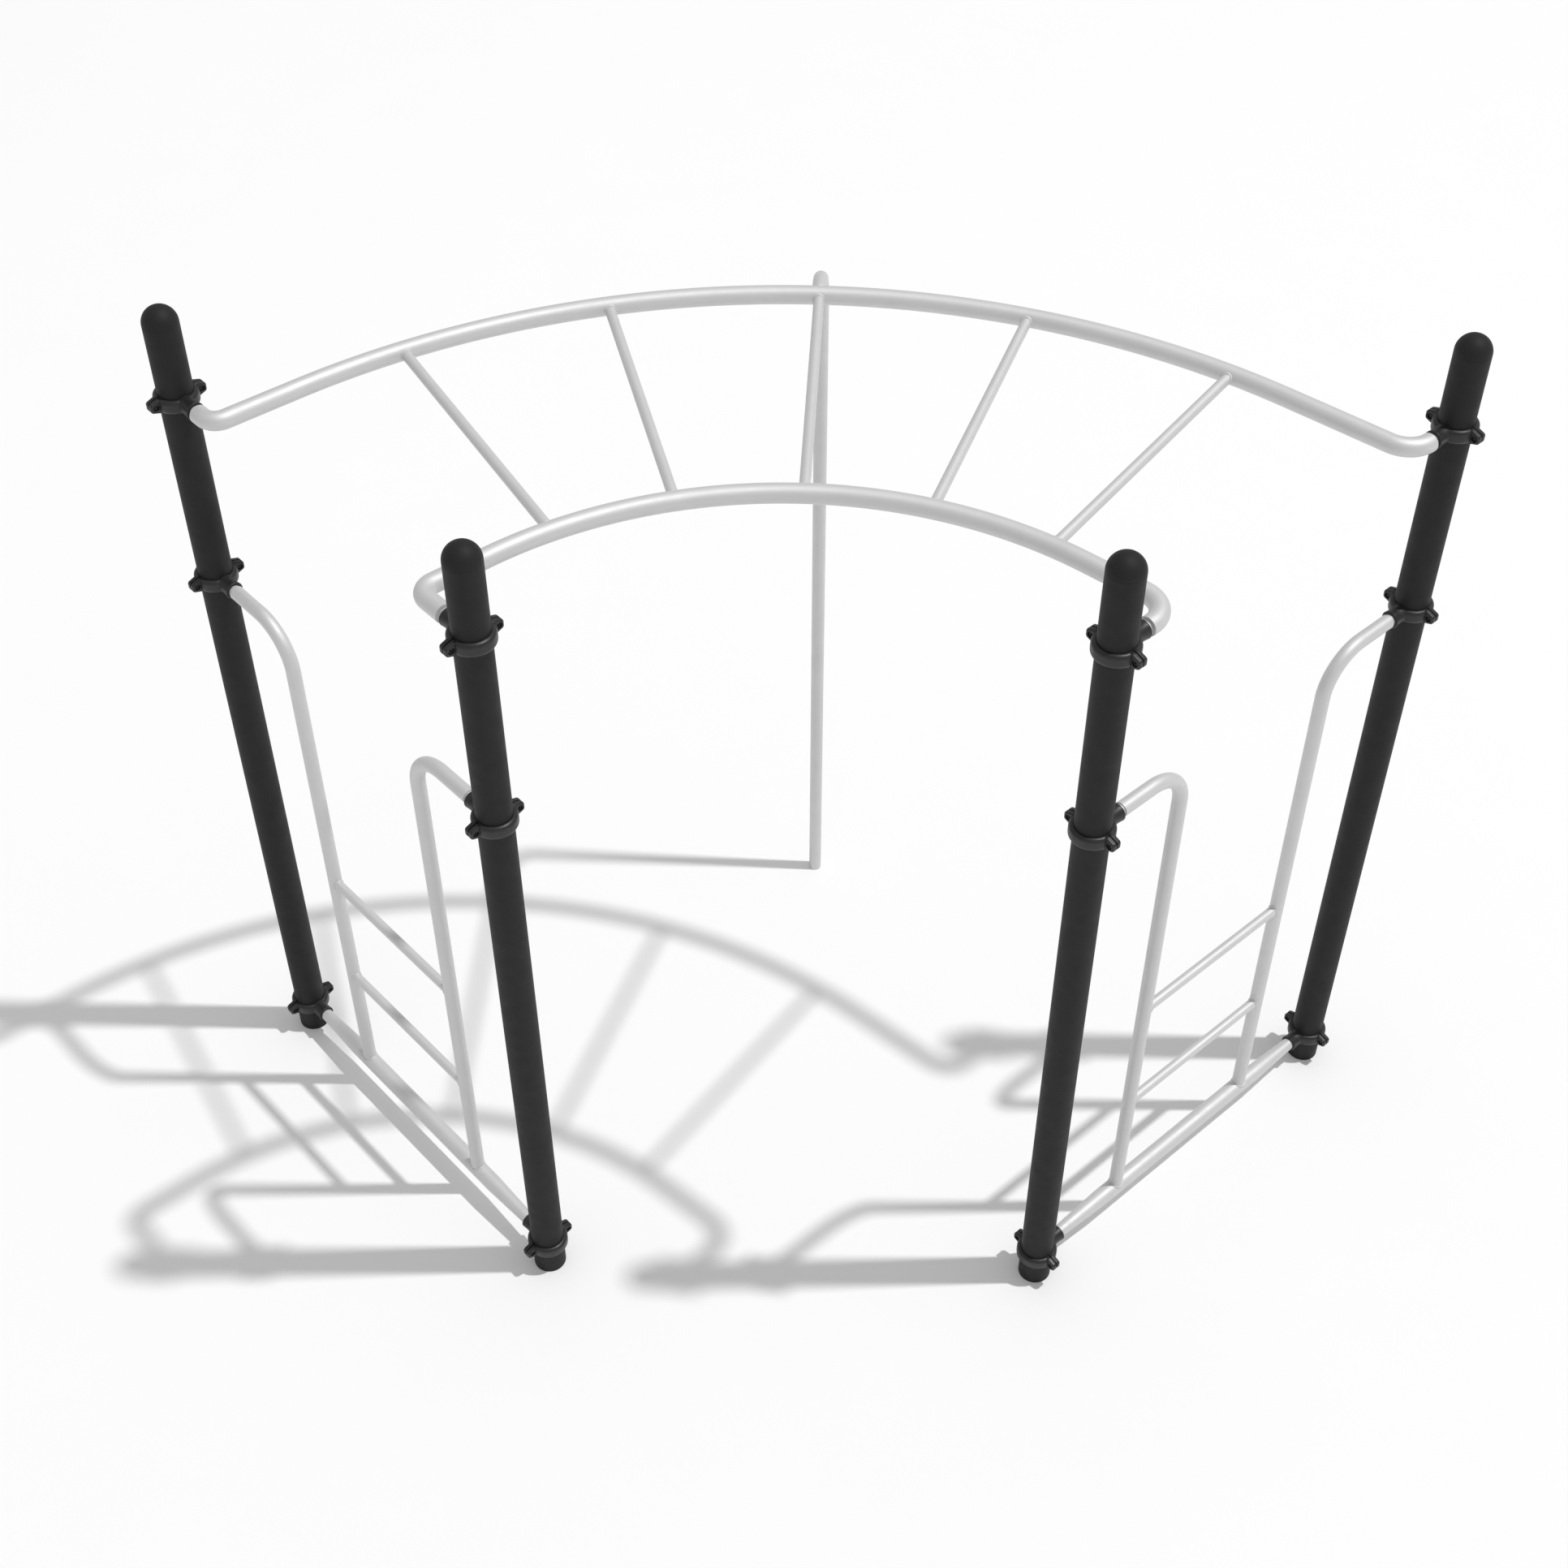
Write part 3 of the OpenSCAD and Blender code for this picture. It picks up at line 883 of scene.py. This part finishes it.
@dataclass
class EndLadder:
    """One climbing ladder: a bottom rail, two bent stiles and two rungs."""

    side: Side
    stile: float = 0.01905
    spacing: float = 0.542
    bend: float = 0.12
    stile_cone: float = 0.001
    rail: float = 0.02415
    taper: float = 0.165
    narrow: float = 0.0175
    rim_gap: float = 0.001
    rung: float = 0.01345
    spigot: SpigotEnd = field(default_factory=SpigotEnd)
    bead: WeldBead = field(default_factory=WeldBead)
    end: EndFrame = field(init=False)

    def __post_init__(self) -> None:
        """Finds the end frame that holds the ladder."""
        self.end = EndFrame(self.side)

    def build(self, finish: bpy.types.Material) -> None:
        """Builds the whole ladder.

        Args:
            finish: The ladder's finish.
        """
        self._bottom_rail(finish)
        for row in Row:
            self._stile(row, finish)
        for label in ("lower", "upper"):
            self._rung(label, finish)

    def _stile_foot(self, row: Row) -> Vector:
        """Gives the place on the ground under a stile."""
        return self.end.foot(row) + self.end.towards(row) * (self.end.span - self.spacing) / 2

    def _bottom_rail(self, finish: bpy.types.Material) -> None:
        """Builds the rail near the ground, which tapers towards both posts."""
        name = f"ladder_bottom_rail_{self.side.value}"
        height = middle_height(name)
        towards = self.end.towards(Row.INNER)
        place = self.end.inner + UP * height + towards * self.spigot.end
        run = TubeRun(place, towards, self.end.normal, self.spigot.radius)
        start = self.spigot.rim + self.rim_gap
        run.straight(start - self.spigot.end)
        run.shoulder(self.narrow)
        run.straight(self.taper - 2 * FINE_EDGE, self.rail, 6)
        run.straight(self.end.span - 2 * (start + self.taper), steps=4)
        run.straight(self.taper - 2 * FINE_EDGE, self.narrow, 6)
        run.shoulder(self.spigot.radius)
        run.straight(start - self.spigot.end)
        show(f"skin_{name}", run.mesh(name), finish, [name])

    def _stile(self, row: Row, finish: bpy.types.Material) -> None:
        """Builds one stile and the weld at its foot.

        Args:
            row: The post that holds its top.
            finish: The ladder's finish.
        """
        name = f"ladder_stile_{self.side.value}_{row.value}"
        towards = self.end.towards(row)
        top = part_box(name)[1][2] - self.stile
        low = middle_height(f"ladder_bottom_rail_{self.side.value}")
        run = self.spigot.start(self.end.foot(row), top, towards, towards.cross(UP))
        run.straight(self.stile_cone, self.stile, 3)
        reach = (self.end.span - self.spacing) / 2 - self.bend
        run.straight(reach - self.spigot.shoulder - self.stile_cone)
        run.bend(self.bend, -QUARTER, 32)
        run.straight(top - self.bend - low, steps=10)
        show(f"skin_{name}", run.mesh(name), finish, [name])
        foot = self._stile_foot(row) + UP * low
        bead = f"weld_{name}"
        show(bead, self.bead.mesh(bead, foot, UP, towards, self.stile, self.rail), finish)

    def _rung(self, label: str, finish: bpy.types.Material) -> None:
        """Builds one climbing rung and the welds at its two ends.

        Args:
            label: Which rung, lower or upper.
            finish: The ladder's finish.
        """
        name = f"ladder_rung_{label}_{self.side.value}"
        lift = UP * middle_height(name)
        start = self._stile_foot(Row.INNER) + lift
        run = TubeRun(start, self.end.heading, UP, self.rung, sides=40).straight(self.spacing, steps=4)
        show(f"skin_{name}", run.mesh(name), finish, [name])
        for row in Row:
            bead = f"weld_{name}_{row.value}"
            away = self.end.towards(row)
            mesh = self.bead.mesh(bead, self._stile_foot(row) + lift, away, UP, self.rung, self.stile)
            show(bead, mesh, finish)


@dataclass
class ClampSet:
    """The split clamps round the posts, with their bolts and nuts.

    A clamp's own frame has the post's axis as Z and the socket along +X.
    """

    post: float = 0.04445
    bore_gap: float = 0.0001
    bore_chamfer: float = 0.0022
    ring: float = 0.0115
    ring_flat: float = 0.0005
    ring_steps: int = 48
    height: float = 0.038
    split: float = 0.003
    ear: float = 0.012
    ear_corner: float = 0.008
    ear_edge: float = 0.0042
    bolt_offset: float = 0.0185
    tip_beyond_bolt: float = 0.014
    tip_drop: float = 0.006
    ear_root: float = 0.011
    ear_overlap: float = 0.003
    ear_search: float = 0.08
    ear_halvings: int = 30
    ear_points: int = 56
    boss_rim: float = 0.0245
    boss_waist: float = 0.0225
    boss_length: float = 0.0435
    boss_overlap: float = 0.001
    rim_edge: float = 0.0022
    socket: float = 0.0162
    socket_depth: float = 0.034
    socket_chamfer: float = 0.0012
    recess: float = 0.008
    recess_radius: float = 0.00791
    bolt_hole: float = 0.0044
    bolt: float = 0.004
    head: float = 0.0065
    head_height: float = 0.005
    drive: float = 0.0025
    drive_depth: float = 0.0026
    drive_edge: float = 0.0002
    head_edge: float = 0.0007
    nut_flat: float = 0.0065
    nut_corner_share: float = 1.08
    nut_face_share: float = 0.97
    nut_height: float = 0.0045
    thread_edge: float = 0.0008
    thread_gap: float = 0.0001

    def build(self, cast: bpy.types.Material, steel: bpy.types.Material) -> None:
        """Builds every clamp and fastener.

        Args:
            cast: The castings' finish.
            steel: The fasteners' finish.
        """
        socket_half = self._half_mesh("clamp_socket_half", True)
        back_half = self._half_mesh("clamp_back_half", False)
        bolts, nuts = Skin(), Skin()
        for side in Side:
            end = EndFrame(side)
            for row in Row:
                for level in Level:
                    tail = f"{side.value}_{row.value}_{level.value}"
                    place = self._place(end, row, f"clamp_back_half_{tail}")
                    for kind, mesh in (("socket", socket_half), ("back", back_half)):
                        node = f"clamp_{kind}_half_{tail}"
                        show(f"skin_{node}", mesh, cast, [node], place)
                    for sign in (-1, 1):
                        at = place @ Matrix.Translation((0, sign * (self.post + self.bolt_offset), 0))
                        self._lathe(bolts, at, self._bolt(), 36)
                        self._lathe(nuts, at, self._nut(), 36)
        show("skin_clamp_bolts", bolts.mesh("clamp_bolts", 30.0), steel, ["clamp_bolts"])
        show("skin_clamp_nuts", nuts.mesh("clamp_nuts", 30.0), steel, ["clamp_nuts"])

    def _place(self, end: EndFrame, row: Row, node: str) -> Matrix:
        """Gives a clamp's place, from its post and the height of its back half."""
        towards = end.towards(row)
        turn = Matrix.Rotation(math.atan2(towards.y, towards.x), 4, "Z")
        return Matrix.Translation(end.foot(row) + Vector((0, 0, middle_height(node)))) @ turn

    def _half_mesh(self, name: str, with_boss: bool) -> bpy.types.Mesh:
        """Draws one half of a clamp on the +X side, turned round for the back half.

        Args:
            name: The mesh's name.
            with_boss: Whether the half has the socket.

        Returns:
            The mesh.
        """
        skin = Skin()
        self._half_ring(skin)
        for sign in (-1, 1):
            self._ear(skin, sign)
        if with_boss:
            self._boss(skin)
        else:
            about = Matrix.Rotation(math.pi, 3, "Z")
            bmesh.ops.rotate(skin.sheet, verts=skin.sheet.verts, cent=(0, 0, 0), matrix=about)
        return skin.mesh(name, 42.0)

    def _ring_section(self) -> list[tuple[float, float]]:
        """Gives the ring's section as radius and height, with a rounded outside and a chamfered bore."""
        inner = self.post + self.bore_gap
        top = self.height / 2
        rounding = self.ring - self.ring_flat
        centre = self.post + self.ring - rounding
        bevel = inner + self.bore_chamfer
        bevel_top = top - self.bore_chamfer
        points = [(bevel, -top)]
        for start, middle in ((-QUARTER, rounding - top), (0.0, top - rounding)):
            for a in quarter_angles(8):
                x = centre + rounding * math.cos(start + a)
                points.append((x, middle + rounding * math.sin(start + a)))
        return [*points, (bevel, top), (inner, bevel_top), (inner, -bevel_top)]

    def _half_ring(self, skin: Skin) -> None:
        """Draws half a ring that ends flat on the split."""
        section = self._ring_section()
        for i in range(self.ring_steps + 1):
            t = 2.0 * i / self.ring_steps - 1.0
            points = []
            for radius, z in section:
                a = t * math.acos(self.split / 2 / radius)
                points.append(Vector((radius * math.cos(a), radius * math.sin(a), z)))
            skin.ring(points)
        skin.cap()

    def _ear_reach(self, a: float, shrink: float) -> float:
        """Gives the distance from the bolt's axis to the ear's outline.

        Args:
            a: Direction, from 0 at the tip, in radians.
            shrink: How far the outline is drawn in.

        Returns:
            The distance.
        """
        corner = self.ear_corner
        rise = self.height / 2 - corner
        tip = (self.tip_beyond_bolt - corner, rise - self.tip_drop)
        root = (-self.ear_root, rise)
        inside = (self.ear_overlap - self.bolt_offset, rise)
        # The outline is the edge of the widest shape that the corner circles span.
        hull = convex_outline([(y, s * z) for y, z in (tip, root, inside) for s in (-1, 1)])
        low, high = 0.0, self.ear_search
        for _ in range(self.ear_halvings):
            middle = (low + high) / 2
            if distance_to(hull, (middle * math.cos(a), middle * math.sin(a))) > corner - shrink:
                high = middle
            else:
                low = middle
        return middle

    def _ear(self, skin: Skin, sign: int) -> None:
        """Draws one ear round its bolt, with the recess for a head or a nut.

        Args:
            skin: The skin to add to.
            sign: 1 for the ear on +Y, -1 for the one on -Y.
        """
        edge = self.ear_edge
        near, far = self.split / 2, self.split / 2 + self.ear
        floor = far - self.recess

        def ring(x: float, reach: Callable[[float], float]) -> None:
            """Adds a ring at x whose points lie at that reach from the bolt in every direction."""
            points = []
            for a in round_angles(self.ear_points):
                distance = reach(a)
                y = self.post + self.bolt_offset + distance * math.cos(a)
                points.append(Vector((x, sign * y, distance * math.sin(a))))
            skin.ring(points)

        def outline(x: float, shrink: float) -> None:
            """Adds the ear's outline at x, drawn in by shrink."""
            ring(x, lambda a: self._ear_reach(a, shrink))

        ring(near, steady(self.bolt_hole))
        outline(near, EDGE)
        outline(near + EDGE, 0.0)
        for a in quarter_angles(5):
            outline(far - edge + edge * math.sin(a), edge * (1 - math.cos(a)))
        ring(far, steady(self.recess_radius + EDGE))
        ring(far - EDGE, steady(self.recess_radius))
        ring(floor, steady(self.recess_radius))
        ring(floor, steady(self.bolt_hole))
        skin.join_ends()

    def _boss(self, skin: Skin) -> None:
        """Draws the trumpet-shaped boss with its rolled rim and blind socket."""
        start = self.post + self.boss_overlap
        rim = self.post + self.boss_length
        edge = self.rim_edge
        profile: list[tuple[float, float]] = []
        flare = self.boss_rim - self.boss_waist
        steps = 16
        for i in range(steps + 1):
            x = start + (rim - edge - start) * i / steps
            t = 2.0 * (x - self.post) / self.boss_length - 1.0
            profile.append((x, self.boss_waist + flare * t * t))
        outer = profile[-1][1]
        for a in quarter_angles(5)[1:]:
            profile.append((rim - edge + edge * math.sin(a), outer - edge * (1 - math.cos(a))))
        profile.append((rim, self.socket + self.socket_chamfer))
        profile.append((rim - self.socket_chamfer, self.socket))
        profile.append((rim - self.socket_depth, self.socket))
        self._lathe(skin, Matrix(), [(x, steady(radius)) for x, radius in profile], 64)

    def _lathe(self, skin: Skin, place: Matrix, profile: Profile, count: int) -> None:
        """Draws a shape round an axis along X.

        Args:
            skin: The skin to add to.
            place: Where the axis's zero stands.
            profile: Positions along the axis, each with a radius for every direction.
            count: Points in a ring.
        """
        for x, radius in profile:
            points = [(x, radius(a) * math.cos(a), radius(a) * math.sin(a)) for a in round_angles(count)]
            skin.ring([place @ Vector(point) for point in points])
        skin.cap()

    def _bolt(self) -> Profile:
        """Gives the profile of a socket-head bolt whose head is in the back half's ear."""
        seat = -(self.split / 2 + self.ear - self.recess)
        top = seat - self.head_height
        end = -seat + self.nut_height + self.thread_edge
        return [
            (top + self.drive_depth, hexagon(self.drive)),
            (top + self.drive_edge, hexagon(self.drive)),
            (top, hexagon(self.drive + 1.5 * self.drive_edge)),
            (top, steady(self.head - self.head_edge)),
            (top + self.head_edge, steady(self.head)),
            (seat, steady(self.head)),
            (seat, steady(self.bolt)),
            (end - EDGE, steady(self.bolt)),
            (end, steady(self.bolt - EDGE)),
        ]

    def _nut(self) -> Profile:
        """Gives the profile of a chamfered nut in the socket half's ear."""
        seat = self.split / 2 + self.ear - self.recess
        face = seat + self.nut_height
        bore = self.bolt + self.thread_gap

        def flats(a: float) -> float:
            """Gives the hexagon's radius, with its corners turned off."""
            return min(hexagon(self.nut_flat)(a), self.nut_flat * self.nut_corner_share)

        return [
            (seat, steady(bore)),
            (seat, steady(self.nut_flat)),
            (seat + EDGE, flats),
            (face - self.thread_edge, flats),
            (face, steady(self.nut_flat * self.nut_face_share)),
            (face, steady(bore + FINE_EDGE)),
            (face - FINE_EDGE, steady(bore)),
        ]


def steady(radius: float) -> Callable[[float], float]:
    """Gives a radius that is the same in every direction."""
    return lambda _a: radius


def hexagon(flat: float) -> Callable[[float], float]:
    """Gives the radius of a hexagon whose flats lie at that distance from its axis."""
    return lambda a: flat / math.cos((a % (math.pi / 3)) - math.pi / 6)


def convex_outline(points: Sequence[tuple[float, float]]) -> list[tuple[float, float]]:
    """Finds the convex outline of a few points, anticlockwise.

    Args:
        points: The points.

    Returns:
        The outline's corners.
    """
    ordered = sorted(set(points))

    def half(sequence: Iterable[tuple[float, float]]) -> list[tuple[float, float]]:
        """Walks one side of the outline."""
        chain: list[tuple[float, float]] = []
        for p in sequence:
            while len(chain) > 1:
                (ax, ay), (bx, by) = chain[-2], chain[-1]
                if (bx - ax) * (p[1] - ay) - (by - ay) * (p[0] - ax) > 0:
                    break
                chain.pop()
            chain.append(p)
        return chain[:-1]

    return half(ordered) + half(reversed(ordered))


def distance_to(outline: Sequence[tuple[float, float]], point: tuple[float, float]) -> float:
    """Gives a point's distance from a convex shape, or zero inside it.

    Args:
        outline: The shape's corners, anticlockwise.
        point: The point.

    Returns:
        The distance.
    """
    inside = True
    best = math.inf
    count = len(outline)
    for i in range(count):
        (ax, ay), (bx, by) = outline[i], outline[(i + 1) % count]
        ex, ey = bx - ax, by - ay
        px, py = point[0] - ax, point[1] - ay
        if ex * py - ey * px < 0:
            inside = False
        t = max(0.0, min(1.0, (px * ex + py * ey) / (ex * ex + ey * ey)))
        best = min(best, math.hypot(px - t * ex, py - t * ey))
    return 0.0 if inside else best


# ---- Studio ----


@dataclass
class Studio:
    """The floor, the lights and the camera."""

    camera_place: tuple[float, float, float] = (0.1764, -4.4537, 5.5275)
    camera_pitch: float = 0.774
    camera_turn: float = 0.052
    camera_roll: float = 0.001
    lens: float = 52.73
    sensor: float = 36.0
    view_reach: float = 200.0
    floor_half: float = 60.0
    floor_drop: float = 0.0005
    # The paper's two colours are painted light: brighter away from the key light, darker under it.
    paper: FloorPaper = FloorPaper("floor_paper", (0.955, 0.955, 0.955), (0.9, 0.9, 0.9))
    key_place: tuple[float, float, float] = (20.1, 0.7, 47.3)
    key_radius: float = 0.78
    key_strength: float = 1.88
    sky_strength: float = 0.525

    def build(self) -> None:
        """Builds the whole studio."""
        self._floor()
        self._light()
        self._camera()

    def _floor(self) -> None:
        """Lays a wide floor just under the feet."""
        sheet = bmesh.new()
        bmesh.ops.create_grid(sheet, x_segments=6, y_segments=6, size=self.floor_half)
        mesh = bpy.data.meshes.new("floor")
        sheet.to_mesh(mesh)
        sheet.free()
        mesh.materials.append(self.paper.build())
        stand("floor", mesh, (0.0, 0.0, -self.floor_drop))

    def _light(self) -> None:
        """Sets an even white surround and one small key light, high and far off on the right."""
        world = bpy.data.worlds.new("surround")
        world.use_nodes = True
        sky = world.node_tree.nodes["Background"]
        sky.inputs["Color"].default_value = (1.0, 1.0, 1.0, 1.0)
        sky.inputs["Strength"].default_value = self.sky_strength
        bpy.context.scene.world = world
        data = bpy.data.lights.new("key", "POINT")
        place = Vector(self.key_place)
        data.energy = self.key_strength * 4.0 * math.pi * place.length_squared
        data.shadow_soft_size = self.key_radius
        stand("key", data, place)

    def _camera(self) -> None:
        """Sets the camera and the plain view of colour."""
        data = bpy.data.cameras.new("camera")
        data.lens = self.lens
        data.sensor_width = self.sensor
        data.clip_end = self.view_reach
        camera = stand("camera", data, self.camera_place)
        camera.rotation_euler = (QUARTER - self.camera_pitch, self.camera_roll, self.camera_turn)
        bpy.context.scene.camera = camera
        bpy.context.scene.view_settings.view_transform = "Standard"
        bpy.context.scene.view_settings.look = "None"


def main() -> None:
    """Builds the studio and every piece in order."""
    logging.basicConfig(level=logging.INFO, format="%(message)s")
    finishes = Palette().materials()
    slot_of = {entry["node"]: entry["material_slot"] for entry in frame["record"]["subparts"]}
    for name, node in frame["nodes"].items():
        node.data.materials.clear()
        node.data.materials.append(finishes[Surface(slot_of[name])])
    Studio().build()
    Posts().build(finishes[Surface.POST])
    OverheadLadder().build(finishes[Surface.LADDER])
    for side in Side:
        EndLadder(side).build(finishes[Surface.LADDER])
    ClampSet().build(finishes[Surface.CLAMP], finishes[Surface.FASTENER])


if __name__ == "__main__":
    main()
